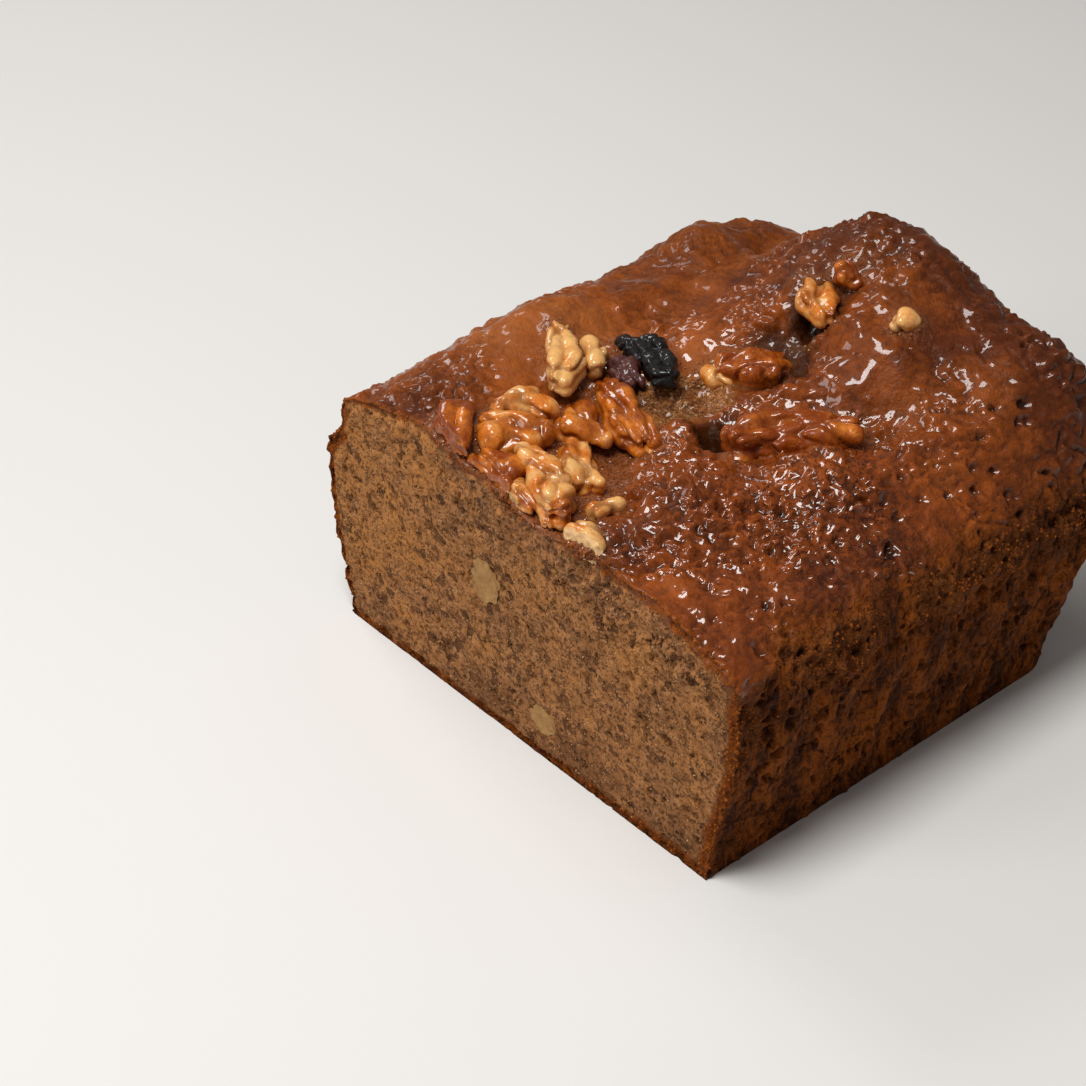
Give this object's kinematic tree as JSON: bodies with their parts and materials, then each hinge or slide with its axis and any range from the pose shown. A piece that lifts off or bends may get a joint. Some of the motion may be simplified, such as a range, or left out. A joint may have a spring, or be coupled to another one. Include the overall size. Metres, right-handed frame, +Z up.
{
  "type": "banana bread",
  "caption": "Cut loaf of banana bread on its flat base, with a cracked glossy crust and walnut pieces baked into the top",
  "frame": {"origin": "middle of the bounding box in x and y, on the flat base", "axes": "+Z up, +X to the right when looking at the cut, -Y out of the cut face"},
  "size_m": [0.121, 0.116, 0.0816],
  "materials": {
    "crust": "baked crust, glossy on top and dull at the sides, with tan crumb at the cut",
    "walnut": "toasted walnut under a thin glaze",
    "cut_walnut": "raw walnut meat, sliced",
    "black_fruit": "wrinkled dried fruit, shiny",
    "maroon_fruit": "wrinkled dried fruit, shiny"
  },
  "bodies": {
    "root": {"loaf": "crust", "walnut_front_quarter": "walnut", "walnut_under_quarter": "walnut", "walnut_left_lobe": "walnut", "walnut_back_crescent": "walnut", "walnut_middle_lobe": "walnut", "walnut_cupped_piece": "walnut", "walnut_arched_piece": "walnut", "walnut_pale_knot": "walnut", "walnut_pale_crumb": "walnut", "walnut_toasted_knot": "walnut", "walnut_sunk_piece": "walnut", "walnut_cut_wedge": "walnut", "walnut_small_tip": "walnut", "walnut_rear_crescent": "walnut", "walnut_rear_hook": "walnut", "walnut_long_half": "walnut", "walnut_sunk_chip": "walnut", "walnut_far_chip": "walnut", "walnut_far_lobe": "walnut", "cut_walnut_upper": "cut_walnut", "cut_walnut_lower": "cut_walnut", "fruit_black": "black_fruit", "fruit_maroon": "maroon_fruit"}
  },
  "joints": []
}
